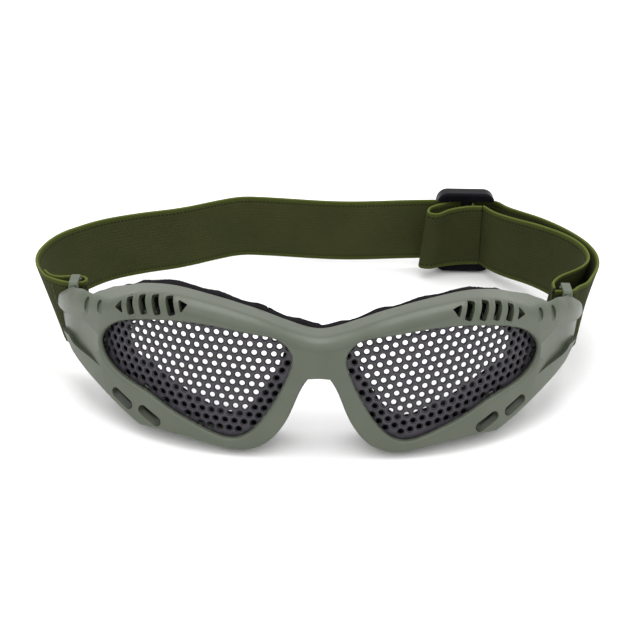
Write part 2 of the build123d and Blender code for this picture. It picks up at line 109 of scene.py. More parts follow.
class Shader:
    """A material's node tree, built by short calls."""

    def __init__(self, name):
        self.material = bpy.data.materials.new(name)
        self.material.use_nodes = True
        self.nodes = self.material.node_tree.nodes
        self.links = self.material.node_tree.links
        self.surface = self.nodes["Principled BSDF"]

    def node(self, kind, **values):
        made = self.nodes.new(kind)
        for key, value in values.items():
            setattr(made, key, value)
        return made

    def put(self, node, socket, value):
        """Link an output into a socket, or set the socket's value."""
        target = node.inputs[socket]
        if isinstance(value, bpy.types.NodeSocket):
            self.links.new(value, target)
        else:
            target.default_value = (*value, 1.0) if target.type == "RGBA" else value

    def position(self):
        """Object position, in metres."""
        return self.node("ShaderNodeTexCoord").outputs["Object"]

    def strap_place(self, scale=1.0):
        """UV of a strap: metres along it and across it, times a scale."""
        mapping = self.node("ShaderNodeMapping")
        self.put(mapping, "Vector", self.node("ShaderNodeTexCoord").outputs["UV"])
        self.put(mapping, "Scale", (scale, scale, 1.0))
        return mapping.outputs["Vector"]

    def noise(self, vector, scale, detail=3.0):
        made = self.node("ShaderNodeTexNoise")
        self.put(made, "Vector", vector)
        self.put(made, "Scale", scale)
        self.put(made, "Detail", detail)
        self.put(made, "Roughness", NOISE_ROUGHNESS)
        return made.outputs["Fac"]

    def cells(self, vector, scale):
        made = self.node("ShaderNodeTexVoronoi")
        self.put(made, "Vector", vector)
        self.put(made, "Scale", scale)
        return made.outputs["Distance"]

    def ramp(self, factor, shades, ends=(0.3, 0.7)):
        """From one shade to another while a factor goes from end to end."""
        made = self.node("ShaderNodeValToRGB")
        self.put(made, "Fac", factor)
        for element, place, shade in zip(made.color_ramp.elements, ends, shades):
            element.position = place
            element.color = (*shade, 1.0)
        return made.outputs["Color"]

    def level(self, factor, low, high, start=0.0, end=1.0):
        """From low to high while a factor goes from start to end."""
        made = self.node("ShaderNodeMapRange")
        self.put(made, "Value", factor)
        self.put(made, "From Min", start)
        self.put(made, "From Max", end)
        self.put(made, "To Min", low)
        self.put(made, "To Max", high)
        return made.outputs["Result"]

    def calc(self, operation, *values):
        made = self.node("ShaderNodeMath", operation=operation)
        for place, value in enumerate(values):
            self.put(made, place, value)
        return made.outputs["Value"]

    def wave(self, distance, pitch):
        """Sine of a distance, with a full turn to each pitch."""
        return self.calc("SINE", self.calc("MULTIPLY", distance, 2 * math.pi / pitch))

    def mix(self, factor, first, second):
        made = self.node("ShaderNodeMix", data_type="RGBA")
        self.put(made, 0, factor)
        self.put(made, 6, first)
        self.put(made, 7, second)
        return made.outputs[2]

    def bump(self, height, distance, strength):
        made = self.node("ShaderNodeBump")
        self.put(made, "Height", height)
        self.put(made, "Distance", distance)
        self.put(made, "Strength", strength)
        return made.outputs["Normal"]

    def finish(self, colour, roughness, normal, **others):
        self.put(self.surface, "Base Color", colour)
        self.put(self.surface, "Roughness", roughness)
        self.put(self.surface, "Normal", normal)
        for socket, value in others.items():
            self.put(self.surface, socket.replace("_", " "), value)
        return self.material


def frame_plastic():
    """Grey-green moulded plastic with a satin skin."""
    s = Shader("frame plastic")
    place = s.position()
    colour = s.ramp(s.noise(place, 60.0, detail=2.0), FRAME_SHADES)
    grain = s.noise(place, 3200.0, detail=2.0)
    rough = s.level(s.noise(place, 260.0), 0.32, 0.42)
    normal = s.bump(grain, distance=0.03 * MM, strength=0.35)
    return s.finish(colour, rough, normal, Specular_IOR_Level=0.55)


def mesh_steel():
    """Dark coated sheet steel, darkened round the holes by painted shadow."""
    s = Shader("mesh steel")
    place = s.position()
    patch = s.noise(place, 220.0)
    rim_shadow = s.node("ShaderNodeAttribute", attribute_name="rim_shadow")
    # Painted shadow round each hole, mixed in by the panel's rim factor
    colour = s.mix(rim_shadow.outputs["Fac"], s.ramp(patch, STEEL_SHADES), HOLE_SHADOW)
    grain = s.noise(place, 2600.0, detail=2.0)
    rough = s.level(patch, 0.36, 0.50)
    normal = s.bump(grain, distance=0.03 * MM, strength=0.4)
    return s.finish(colour, rough, normal, Metallic=0.25, Specular_IOR_Level=0.4)


def foam_rubber():
    """Closed-cell foam: dull, finely pitted."""
    s = Shader("foam")
    place = s.position()
    colour = s.ramp(s.noise(place, 320.0), FOAM_SHADES)
    normal = s.bump(s.cells(place, 2200.0), distance=0.12 * MM, strength=0.6)
    return s.finish(colour, 0.95, normal, Specular_IOR_Level=0.05)


def faded(shade, share):
    """A darker shade."""
    return tuple(share * part for part in shade)


def webbing(name, shades):
    """Woven elastic: ribs along it with painted shade in the furrows, a knitted braid at both edges, a
    dashed line in the braid and a painted highlight along each edge.
    """
    s = Shader(name)
    split = s.node("ShaderNodeSeparateXYZ")
    s.put(split, "Vector", s.strap_place())
    along, across = split.outputs["X"], split.outputs["Y"]
    weave = s.calc("MULTIPLY", s.wave(along, PICK_PITCH), s.wave(across, RIB_PITCH))
    yarn = s.noise(s.strap_place(2200.0), 1.0)
    cloud = s.noise(s.strap_place(60.0), 1.0, detail=2.0)
    mottle = s.calc("ADD", s.calc("MULTIPLY", yarn, 0.5), s.calc("MULTIPLY", cloud, 0.35))
    mottle = s.calc("ADD", s.calc("MULTIPLY", weave, 0.22), mottle)
    # Painted shade in the furrows between the ribs, darker stripes along the webbing
    furrow_shade = s.level(s.wave(across, FURROW_PITCH), 0.12, 0.30)
    body = s.mix(furrow_shade, s.ramp(mottle, shades, ends=(0.15, 0.85)), faded(shades[0], 0.4))
    half = STRAP_WIDTH / 2
    from_middle = s.calc("ABSOLUTE", s.calc("SUBTRACT", across, half))
    # The braid mask marks the lighter yarn, the rim mask the painted highlight along each edge
    in_braid, at_highlight_rim = (s.level(from_middle, 0.0, 1.0, half - start, half - end)
                        for start, end in (BRAID_INSETS, HIGHLIGHT_RIM_INSETS))
    braid = s.mix(s.level(yarn, 0.2, 1.0), faded(EDGE_YARN_AND_HIGHLIGHT, 0.28), faded(EDGE_YARN_AND_HIGHLIGHT, 0.62))
    banded = s.mix(in_braid, body, braid)
    off_line = s.calc("ABSOLUTE", s.calc("SUBTRACT", from_middle, half - DASH_INSET))
    dashes = s.calc("MULTIPLY", s.calc("LESS_THAN", off_line, DASH_HALF),
                    s.calc("GREATER_THAN", s.wave(along, DASH_PITCH), -0.2))
    banded = s.mix(s.calc("MULTIPLY", dashes, 0.75), banded, DASH_SHADE)
    # Painted highlight along both edges of the webbing
    colour = s.mix(at_highlight_rim, banded, EDGE_YARN_AND_HIGHLIGHT)
    height = s.calc("ADD", weave, s.calc("MULTIPLY", yarn, 0.8))
    return s.finish(colour, 0.88, s.bump(height, distance=0.10 * MM, strength=0.8), Specular_IOR_Level=0.12)


def slider_plastic():
    """Moulded plastic, near black."""
    s = Shader("slider plastic")
    place = s.position()
    smear = s.noise(place, 140.0)
    colour = s.ramp(smear, SLIDER_SHADES)
    rough = s.level(smear, 0.30, 0.42)
    normal = s.bump(s.noise(place, 900.0, detail=2.0), distance=0.02 * MM, strength=0.3)
    return s.finish(colour, rough, normal, Specular_IOR_Level=0.03)


def thread():
    """Sewing thread."""
    s = Shader("thread")
    twist = s.noise(s.position(), 5200.0, detail=2.0)
    return s.finish(s.ramp(twist, THREAD_SHADES), 0.85, s.bump(twist, distance=0.05 * MM, strength=0.6))


def floor_paper():
    """Pale plain floor."""
    s = Shader("floor paper")
    grain = s.noise(s.position(), 900.0, detail=2.0)
    return s.finish(s.ramp(grain, PAPER_SHADES), 0.9, s.bump(grain, distance=0.02 * MM, strength=0.2))


# Mesh helpers

def mesh_piece(name, points, faces, material, smooth_under=None):
    """A mesh object from points and faces, smooth shaded under an angle."""
    data = bpy.data.meshes.new(name)
    data.from_pydata([tuple(p) for p in points], [], faces)
    data.validate()
    data.materials.append(material)
    piece = bpy.data.objects.new(name, data)
    bpy.context.scene.collection.objects.link(piece)
    if smooth_under is not None:
        data.shade_smooth()
        data.set_sharp_from_angle(angle=smooth_under)
    return piece


def soften(piece, width, segments=2):
    """Round a piece's sharp edges a little, as moulding does."""
    bevel = piece.modifiers.new("soft edges", "BEVEL")
    bevel.width = width
    bevel.segments = segments
    bevel.limit_method = "ANGLE"
    bevel.angle_limit = math.radians(40)
    bevel.harden_normals = True


def closed_curve(points, steps):
    """Smooth closed curve through points, as a list of points."""
    count = len(points)
    curve = []
    for i in range(count):
        a, b, c, d = (points[(i + k - 1) % count] for k in range(4))
        for step in range(steps):
            t = step / steps
            curve.append(0.5 * (2 * b + (c - a) * t + (2 * a - 5 * b + 4 * c - d) * t ** 2
                                + (3 * b - a - 3 * c + d) * t ** 3))
    return curve


def grown(curve, amount):
    """A closed curve in the plane, moved outwards all round."""
    area = sum(a.x * b.y - b.x * a.y for a, b in zip(curve, curve[1:] + curve[:1]))
    way = 1 if area > 0 else -1
    moved = []
    for before, point, after in zip(curve[-1:] + curve[:-1], curve, curve[1:] + curve[:1]):
        along = (after - before).normalized()
        moved.append(point + Vector((along.y, -along.x)) * amount * way)
    return moved


def within(point, ring):
    """Whether a point lies inside a closed ring in the plane."""
    hit = False
    for a, b in zip(ring, ring[1:] + ring[:1]):
        if (a.y > point.y) != (b.y > point.y):
            if point.x < (b.x - a.x) * (point.y - a.y) / (b.y - a.y) + a.x:
                hit = not hit
    return hit


def eased(table, place):
    """Smoothly interpolated columns of a table at a place in its first column."""
    if place <= table[0][0]:
        return table[0][1:]
    for low, high in zip(table, table[1:]):
        if place <= high[0]:
            share = (place - low[0]) / (high[0] - low[0])
            share = share * share * (3 - 2 * share)
            return [a + (b - a) * share for a, b in zip(low[1:], high[1:])]
    return table[-1][1:]


# Eye panels

EYE_WIDTH = 62.7 * MM
EYE_HEIGHT = 38.7 * MM
EYE_INNER = 9.1 * MM
EYE_TOP = 8.8 * MM
# Outline of an eye opening in shares of its width and height, from its inner top corner
EYE_SHARES = [(0.0, 0.235), (0.053, 0.13), (0.18, 0.07), (0.365, 0.016), (0.55, 0.0), (0.74, 0.035),
              (0.90, 0.12), (0.975, 0.235), (1.0, 0.345), (0.975, 0.475), (0.90, 0.585), (0.75, 0.69),
              (0.62, 0.81), (0.50, 0.90), (0.39, 0.975), (0.29, 1.0), (0.20, 0.925), (0.12, 0.765),
              (0.045, 0.545), (0.006, 0.39)]
EYE_CORNERS = [Vector((EYE_INNER + x * EYE_WIDTH, EYE_TOP - z * EYE_HEIGHT)) for x, z in EYE_SHARES]
PANEL_DEPTH = 3.5 * MM
PANEL_SHEET = 0.8 * MM
PANEL_RADIUS = FACE_RADIUS - PANEL_DEPTH - PANEL_SHEET / 2
PANEL_LAP = 1.4 * MM
PANEL_STEPS = 8
HOLE_RADIUS = 0.88 * MM
HOLE_ROOM = HOLE_RADIUS + 0.45 * MM
HOLE_PITCH = 3.15 * MM
HOLE_SIDES = 14
# Rings round a hole: how much wider than it and how far sunk, in millimetres, and how dark its painted
# shadow is
HOLE_RINGS = ((0.0, 0.26, 0.45), (0.20, 0.20, 0.7), (0.32, 0.08, 1.0), (0.44, 0.0, 0.0))
RING_TOLERANCE = 0.05
PANEL_SHARP = math.radians(35)
ROWS_ANGLES = {"left": math.radians(14.0), "right": math.radians(-4.0)}


def unrolled(point):
    """A point seen from the front, on the flattened panel."""
    if point.x < BRIDGE_HALF:
        return point
    turn = math.asin(min((point.x - BRIDGE_HALF) / PANEL_RADIUS, 1))
    return Vector((BRIDGE_HALF + PANEL_RADIUS * turn, point.y))


def rolled(s, z, depth):
    """Point on the curved panel at a depth behind the front face."""
    turn = max(s - BRIDGE_HALF, 0) / PANEL_RADIUS
    radius = FACE_RADIUS - depth
    return Vector((min(s, BRIDGE_HALF) + radius * math.sin(turn), FACE_RADIUS - radius * math.cos(turn), z))


def hole_centres(turn, ring):
    """Centres of a turned, staggered grid of holes inside a ring."""
    middle = Vector((EYE_INNER + EYE_WIDTH / 2, EYE_TOP - EYE_HEIGHT / 2))
    count = int(EYE_WIDTH / HOLE_PITCH)
    centres = []
    for row in range(-count, count + 1):
        for column in range(-count, count + 1):
            across = (column + (row % 2) / 2) * HOLE_PITCH
            up = row * HOLE_PITCH * math.sqrt(3) / 2
            spot = middle + Vector((across * math.cos(turn) - up * math.sin(turn),
                                    across * math.sin(turn) + up * math.cos(turn)))
            if within(spot, ring):
                centres.append(spot)
    return centres


def panel(name, side, rows_angle, material):
    """Perforated panel: round holes with dished rims that carry painted shadow, on a staggered grid."""
    eye = closed_curve(EYE_CORNERS, PANEL_STEPS)
    points = [unrolled(p) for p in grown(eye, PANEL_LAP)]
    centres = hole_centres(rows_angle * side, [unrolled(p) for p in grown(eye, PANEL_LAP - HOLE_ROOM)])
    tree = KDTree(len(centres))
    for number, spot in enumerate(centres):
        tree.insert(spot.to_3d(), number)
    tree.balance()

    def hole_distance(point):
        return tree.find(point.to_3d())[2]

    loops = [list(range(len(points)))]
    for wider, _, _ in HOLE_RINGS:
        radius = HOLE_RADIUS + wider * MM
        for spot in centres:
            loops.append(list(range(len(points), len(points) + HOLE_SIDES)))
            for k in range(HOLE_SIDES):
                angle = 2 * math.pi * k / HOLE_SIDES
                points.append(spot + Vector((math.cos(angle), math.sin(angle))) * radius)
    lines = [pair for loop in loops for pair in zip(loop, loop[1:] + loop[:1])]
    flat, _, faces = delaunay_2d_cdt(points, lines, [loops[0]], 1, 1e-9)[:3]
    faces = [face for face in faces
             if hole_distance(sum((flat[i] for i in face), Vector((0, 0))) / len(face)) > 0.97 * HOLE_RADIUS]
    shapes, rim_shadows = [], []
    for depth, way in ((PANEL_DEPTH, 1), (PANEL_DEPTH + PANEL_SHEET, -1)):
        for point in flat:
            away = (hole_distance(point) - HOLE_RADIUS) / MM
            wider, sunk, rim_shadow = min(HOLE_RINGS, key=lambda ring: abs(ring[0] - away))
            if abs(wider - away) > RING_TOLERANCE:
                sunk, rim_shadow = 0, 0
            place = rolled(point.x, point.y, depth + sunk * MM * way)
            shapes.append(WORN @ (Matrix.Diagonal((side, 1, 1)) @ place))
            rim_shadows.append(rim_shadow)
    size = len(flat)
    edges = [pair for face in faces for pair in zip(face, face[1:] + face[:1])]
    used = set(edges)
    skin = [tuple(face) for face in faces] + [tuple(i + size for i in reversed(face)) for face in faces]
    skin += [(b, a, a + size, b + size) for a, b in edges if (b, a) not in used]
    if side < 0:
        skin = [tuple(reversed(face)) for face in skin]
    piece = mesh_piece(name, shapes, skin, material, PANEL_SHARP)
    # How much painted shadow each point of the dished rims takes
    piece.data.attributes.new("rim_shadow", "FLOAT", "POINT").data.foreach_set("value", rim_shadows)
    return piece


# Frame

WELD_DISTANCE = 0.002 * MM
FRAME_SHARP = math.radians(32)
FRAME_EDGE = 0.25 * MM
# Share of the half span, then the brow line's height in the solid and in the photograph, in millimetres
BROW_LIFTS = [(0.0, 5.19, 4.59), (0.093, 7.27, 6.56), (0.239, 12.3, 11.48), (0.384, 15.8, 14.84),
              (0.52, 17.3, 16.4), (0.632, 16.1, 15.1), (0.70, 13.9, 12.7), (0.757, 11.5, 10.6),
              (0.82, 8.75, 9.8), (0.875, 7.65, 9.8), (0.92, 7.5, 8.9), (0.97, 7.3, 7.4), (1.07, 6.9, 5.2)]
# Height, then how far back the ear's end lies in the solid and in the photograph, in millimetres
EAR_ENDS = [(-13.5, 36.9, 37.0), (-10.7, 44.0, 39.5), (-7.3, 49.2, 41.5), (-4.4, 50.6, 43.5),
            (-2.1, 51.2, 45.4), (0.0, 50.6, 45.2), (2.4, 49.4, 43.8), (5.0, 46.6, 41.6),
            (6.6, 44.5, 39.6), (8.1, 39.0, 37.4), (10.4, 34.0, 33.6)]
# The solid's ear in plan: the centre of its curve, the radius inside its wall and where its end starts
EAR_CENTRE = Vector((57.736, 53.648)) * MM
EAR_INSIDE = 29.2 * MM
EAR_FROM = 32.0 * MM

# Vents over one eye: four slots and a pointed tip at both ends, as shares of the half span and heights
VENT_PLACES = ((0.5265, 14.1), (0.579, 13.67), (0.6285, 12.89), (0.676, 11.59),
               (0.480, 14.62), (0.7185, 9.95))
SLOT_COUNT = 4
VENT_FACING = math.radians(35)
VENT_SLANT = math.radians(-20)
VENT_BEHIND = 1.25 * MM
# The room that holds one vent's walls: half of it across, along and out of the vent
VENT_ROOM = (1.3 * MM, 3.8 * MM, 6.5 * MM)
VENT_WIDENING = 0.32
SLOT_HALF_WIDTH = 1.32 * MM
SLOT_HALF_LENGTH = 3.5 * MM
LIP_GAP = 0.34 * MM
LIP_RADIUS = 0.36 * MM
LIP_SQUARENESS = 0.4
LIP_POINTS = 40
LIP_SIDES = 8
LIP_FLATNESS = 0.6
LIP_SUNK = 0.2
LIP_FROM = 8 * MM
LIP_SEARCH = 14 * MM
LIP_SHARP = math.radians(80)

# The solid's post, and how it is thinned, cut and moved to the photographed one
CAD_POST = Vector((82.2, 46.0)) * MM
POST_SEARCH_X = 75.0 * MM
POST_SEARCH_Y = 31.0 * MM
POST_MOVES_FROM = 76.0 * MM
POST_MOVES_OVER = 4.0 * MM
POST_RADIUS = 1.3 * MM
POST_OUTWARDS = 1.4 * MM
POST_TOP = 8.8 * MM
FOOT_DROP = 2.4 * MM

# Tab from the post's top to the ear: its middle, half its width and its side view in the strap's frame,
# in millimetres
TAB_X = 84.2
TAB_HALF = 1.6
TAB_PROFILE = [(47.1, 10.2), (47.1, 9.1), (42.1, 9.1), (42.1, 1.0), (39.0, 1.0), (39.0, 6.5), (39.7, 9.3),
               (40.6, 10.2)]
TAB_SHARP = math.radians(30)
TAB_EDGE = 0.35 * MM


def vent_frames():
    """Centre and directions of each vent over one eye: across it, along it and out of it."""
    made = []
    for share, height in VENT_PLACES:
        x = share * HALF_SPAN
        angle = math.asin((x - BRIDGE_HALF) / FACE_RADIUS)
        out = Vector((math.sin(angle), -math.cos(angle), 0))
        flat = Vector((math.cos(angle), math.sin(angle), 0))
        normal = out * math.cos(VENT_FACING) + Vector((0, 0, math.sin(VENT_FACING)))
        rise = normal.cross(flat)
        across = flat * math.cos(VENT_SLANT) + rise * math.sin(VENT_SLANT)
        along = rise * math.cos(VENT_SLANT) - flat * math.sin(VENT_SLANT)
        front = FACE_RADIUS - math.sqrt(FACE_RADIUS ** 2 - (x - BRIDGE_HALF) ** 2)
        made.append((Vector((x, front, height * MM)) - out * VENT_BEHIND, across, along, normal))
    return made


VENTS = vent_frames()


def widened(place):
    """Where a point of the solid lies once the vents are as wide as photographed."""
    for centre, *axes in VENTS:
        off = place - centre
        if all(abs(off.dot(axis)) < room for axis, room in zip(axes, VENT_ROOM)):
            return place + axes[0] * off.dot(axes[0]) * VENT_WIDENING
    return place


def lifted(x, z):
    """A height above the bridge, raised or lowered with the brow line."""
    old, new = eased(BROW_LIFTS, x / HALF_SPAN)
    return z + (new - old) * MM * min(z / (old * MM), 1.1) ** 2


def reposted(x, y, z):
    """Where a point of the solid's post or foot lies on the photographed one."""
    share = covered(x, POST_MOVES_FROM, POST_MOVES_OVER)
    spot = Vector((x, y)) - CAD_POST
    if z > 0 and spot.length > POST_RADIUS:
        spot *= POST_RADIUS / spot.length
    z = min(z, POST_TOP) if z > 0 else z - FOOT_DROP * share
    return CAD_POST.x + spot.x + POST_OUTWARDS * share, CAD_POST.y + spot.y, z


def reshaped(point):
    """Where a point of the solid frame lies on the photographed frame."""
    way = 1 if point.x >= 0 else -1
    x, y, z = widened(Vector((abs(point.x), point.y, point.z)))
    from_ear = (Vector((x, y)) - EAR_CENTRE).length
    if x > POST_SEARCH_X and y > POST_SEARCH_Y and from_ear < EAR_INSIDE:
        x, y, z = reposted(x, y, z)
        return Vector((way * x, y, z))
    if y > EAR_FROM and from_ear >= EAR_INSIDE and x > EAR_CENTRE.x:
        old, new = eased(EAR_ENDS, z / MM)
        y = EAR_FROM + (y - EAR_FROM) * (new * MM - EAR_FROM) / (old * MM - EAR_FROM)
        x = EAR_CENTRE.x + math.sqrt(max(from_ear ** 2 - (y - EAR_CENTRE.y) ** 2, 0.0))
    if z > 0:
        z = lifted(x, z)
    return Vector((way * x, y, z))


def moulded_frame(material):
    """The solid frame, eased to the photograph's ears, brow, vents and posts."""
    data = bpy.data.meshes.new("moulded_frame")
    joined = bmesh.new()
    joined.from_mesh(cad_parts["frame_shell"].data)
    bmesh.ops.remove_doubles(joined, verts=joined.verts, dist=WELD_DISTANCE)
    joined.to_mesh(data)
    joined.free()
    if "custom_normal" in data.attributes:
        data.attributes.remove(data.attributes["custom_normal"])
    data.materials.clear()
    data.materials.append(material)
    back = WORN.inverted()
    for vertex in data.vertices:
        vertex.co = WORN @ reshaped(back @ vertex.co)
    data.shade_smooth()
    data.set_sharp_from_angle(angle=FRAME_SHARP)
    piece = bpy.data.objects.new("moulded_frame", data)
    bpy.context.scene.collection.objects.link(piece)
    return piece


def vent_lips(name, side, shell, material):
    """Thin raised rims moulded round the four slots over one eye, found on the frame by rays."""
    skin = BVHTree.FromObject(shell, bpy.context.evaluated_depsgraph_get())
    mirror = Matrix.Diagonal((side, 1, 1))
    points, faces = [], []
    for centre, across, along, normal in VENTS[:SLOT_COUNT]:
        middle = Vector((centre.x, centre.y, lifted(centre.x, centre.z))) + normal * LIP_FROM
        heading = (WORN.to_3x3() @ mirror @ -normal).normalized()
        ring = []
        for k in range(LIP_POINTS):
            angle = 2 * math.pi * k / LIP_POINTS
            u, v = (abs(part) ** LIP_SQUARENESS * math.copysign(1, part)
                    for part in (math.cos(angle), math.sin(angle)))
            off = across * u * (SLOT_HALF_WIDTH + LIP_GAP) + along * v * (SLOT_HALF_LENGTH + LIP_GAP)
            ring.append(skin.ray_cast(WORN @ (mirror @ (middle + off)), heading, LIP_SEARCH)[:2])
        first = len(points)
        for i, (place, facing) in enumerate(ring):
            run = (ring[(i + 1) % LIP_POINTS][0] - ring[i - 1][0]).normalized()
            beside = run.cross(facing).normalized()
            for j in range(LIP_SIDES):
                angle = 2 * math.pi * j / LIP_SIDES
                rise = LIP_FLATNESS * math.sin(angle) - LIP_SUNK
                points.append(place + (facing * rise + beside * math.cos(angle)) * LIP_RADIUS)
        for i in range(LIP_POINTS):
            this, after = first + i * LIP_SIDES, first + (i + 1) % LIP_POINTS * LIP_SIDES
            for j in range(LIP_SIDES):
                k = (j + 1) % LIP_SIDES
                faces.append((after + j, after + k, this + k, this + j))
    return mesh_piece(name, points, faces, material, LIP_SHARP)


def bar_bridge(name, side, material):
    """Tab that bridges the strap from the top of its post to the ear."""
    points = [STRAP @ (Vector((side * x, y, z)) * MM)
              for x in (TAB_X - TAB_HALF, TAB_X + TAB_HALF) for y, z in TAB_PROFILE]
    count = len(TAB_PROFILE)
    faces = [tuple(range(count)), tuple(reversed(range(count, 2 * count)))]
    for k in range(count):
        faces.append(((k + 1) % count, k, k + count, (k + 1) % count + count))
    if side < 0:
        faces = [tuple(reversed(face)) for face in faces]
    piece = mesh_piece(name, points, faces, material, TAB_SHARP)
    soften(piece, TAB_EDGE, 3)
    return piece


# Strap

# Points of the strap's top edge in plan, in millimetres. LEFT and RIGHT are the photograph's.
RIGHT_ROUTE = [(69.6, 132.0), (72.5, 125.0), (78.5, 119.4), (84.9, 113.2), (91.3, 104.3), (95.9, 95.6),
               (98.9, 87.5), (100.4, 78.0), (99.6, 68.5), (97.3, 61.2), (95.3, 56.6)]
INNER_ROUTE = [(84.0, 56.6), (90.0, 61.7), (94.4, 66.7), (96.9, 72.6), (97.4, 79.2), (96.6, 85.7),
               (94.0, 92.6), (90.2, 98.4), (82.6, 106.3), (74.0, 112.2), (67.0, 118.8), (63.8, 125.8)]
LEFT_LOOP = [(-96.3, 53.4), (-94.4, 49.9), (-91.0, 47.7), (-85.5, 48.9), (-80.6, 48.6), (-80.4, 43.1),
             (-86.6, 43.0), (-91.5, 45.6)]
LEFT_ROUTE = [(-95.6, 49.0), (-99.4, 56.5), (-101.4, 64.0), (-101.6, 72.0), (-99.9, 81.0), (-96.2, 89.8),
              (-84.5, 102.9), (-70.1, 110.9), (-54.7, 116.8), (-41.7, 126.1), (-32.3, 132.0)]
STRAP_GAP = 0.35 * MM
# Room from a post's axis to the middle of the webbing round it, and the bend in shares of that room
POST_X = 83.6 * MM
STRAP_ROOM = 1.5 * MM + STRAP_GAP + STRAP_THICK / 2
BEND_SHARES = [(3.6, 1.9), (1.9, 0.5), (1.3, -1.0), (-1.28, -1.0), (-1.28, 1.9)]
POST_BEND = [Vector((POST_X + x * STRAP_ROOM, POST_Y + y * STRAP_ROOM)) for x, y in BEND_SHARES]
# The bottom edge leans in by up to the flare between a start beside the ear and the back run
STRAP_FLARE = 8.0 * MM
INNER_FLARE_START = POST_Y + 1.2 * STRAP_ROOM
BAND_FLARE_START = 43.2 * MM
FLARE_END = STRAP_REACH - 13.8 * MM
# The outer layer leans in only outside the post, less so on the photograph's right, and fully at the back
OUTSIDE_FROM = 85.5 * MM
OUTSIDE_OVER = 4.0 * MM
RIGHT_LEAN = 0.45
FULL_FROM = 52.0 * MM
FULL_OVER = 16.0 * MM
# The slack in the back run
STRAP_SAG = 1.6 * MM
SAG_X = 8.0 * MM
SAG_SPREAD = 26.0 * MM
BACK_RUN_FROM = 0.9 * STRAP_REACH
# Rounding of a route's corners, as a share of the shorter run, and how often it is evened out
CORNER_SHARE = 0.45
CORNER_STEPS = 12
EASING_PASSES = 6
# The webbing's section and the steps along it
WEBBING_SHARP = math.radians(60)
STATIONS = 96
RIB_RISE = 0.09 * MM
EDGE_ROOM = 1.2 * MM
BAND_STEP = 0.7 * MM
LOOP_STEP = 0.4 * MM
# Where the inner layer starts, from the bend round the post
INNER_SHARE = 0.3
# The loose loop at the slider
SLIDER_X = 57.0 * MM
SLIDER_BAR = 3.4 * MM
SLIDER_PLATE = 2.3 * MM
SLIDER_WIDTH = 23.0 * MM
SLIDER_EDGE = 0.5 * MM
LOOP_TIP = SLIDER_WIDTH * 0.63
LOOP_FROM = STRAP_REACH - 5.5 * MM
LOOP_TIPPING = 0.10
LOOP_SPREAD = 0.45
LOOP_SIDEWAYS = 2.2 * MM
LOOP_SIDEWAYS_OVER = 15 * MM
# Stitches
STITCHES = 11
STITCH_SHARE = 0.72
STITCH_LIFT = 0.22 * MM
STITCH_RADIUS = 0.16 * MM
STITCH_RINGS = 6
STITCH_SIDES = 6
STITCH_SHARP = math.radians(60)
SEAM_MARGIN = 1.2 * MM
# Seams: place and outward direction in plan, share of the strap's lean, and the body that carries it
SEAMS = (("seam_left_loop", (-92.4, 45.35), (-0.62, -0.78), 0.95, "root"),
         ("seam_end_loop", (61.2, 125.6), (0.0, -1.0), 0.0, "slider"))


def routed(points):
    """Strap route points in metres."""
    return [Vector(point) * MM for point in points]


def leant_in(point, start, part):
    """Where the bottom edge runs below a point of the top edge, for a part of the full flare."""
    share = covered(point.y, start, FLARE_END - start)
    way = 1 if point.x > 0 else -1
    return Vector((point.x - way * part * STRAP_FLARE * math.sin(math.pi * math.sqrt(share)), point.y))


def inner_bottom(point):
    """Bottom edge of the inner layer below a point of its top edge."""
    return leant_in(point, INNER_FLARE_START, 1.0)


def band_bottom(point):
    """Bottom edge of the outer layer below a point of its top edge."""
    outside = covered(abs(point.x), OUTSIDE_FROM, OUTSIDE_OVER) * (RIGHT_LEAN if point.x > 0 else 1.0)
    outside += (1 - outside) * covered(point.y, FULL_FROM, FULL_OVER)
    return leant_in(point, BAND_FLARE_START, outside)


def loop_bottom(point):
    """Bottom edge of the loose loop below a point of its top edge: further out and back."""
    share = covered(SLIDER_X - point.x, 0.0, LOOP_SIDEWAYS_OVER)
    forward = max(LOOP_FROM - point.y, 0.0)
    return Vector((point.x - LOOP_SIDEWAYS * share, point.y + LOOP_SPREAD * forward))


def sagging(point):
    """How far the slack back run hangs below its line."""
    if point.y <= BACK_RUN_FROM:
        return 0.0
    return -STRAP_SAG * math.exp(-((point.x - SAG_X) / SAG_SPREAD) ** 2)


def tipping(point):
    """How far the loose loop's front hangs below the strap."""
    return -LOOP_TIPPING * max(LOOP_FROM - point.y, 0.0)


def rounded_route(points, step):
    """Evenly spaced points along a route whose corners are rounded, then eased."""
    dense = [points[0]]
    for before, corner, after in zip(points, points[1:], points[2:]):
        reach = CORNER_SHARE * min((corner - before).length, (after - corner).length)
        start = corner + (before - corner).normalized() * reach
        end = corner + (after - corner).normalized() * reach
        for k in range(CORNER_STEPS + 1):
            t = k / CORNER_STEPS
            dense.append(start * (1 - t) ** 2 + corner * 2 * t * (1 - t) + end * t ** 2)
    dense.append(points[-1])
    lengths = [0.0]
    for a, b in zip(dense, dense[1:]):
        lengths.append(lengths[-1] + (b - a).length)
    count = max(int(lengths[-1] / step), 4)
    even, i = [], 0
    for k in range(count + 1):
        want = lengths[-1] * k / count
        while i < len(lengths) - 2 and lengths[i + 1] < want:
            i += 1
        share = (want - lengths[i]) / max(lengths[i + 1] - lengths[i], 1e-9)
        even.append(dense[i].lerp(dense[i + 1], share))
    for _ in range(EASING_PASSES):
        middle = [(a + 2 * b + c) / 4 for a, b, c in zip(even, even[1:], even[2:])]
        even = [even[0]] + middle + [even[-1]]
    return even


def directions(route):
    """Sideways unit vector at each point of a route."""
    found = []
    for i in range(len(route)):
        along = (route[min(i + 1, len(route) - 1)] - route[max(i - 1, 0)]).normalized()
        found.append(Vector((along.y, -along.x)))
    return found


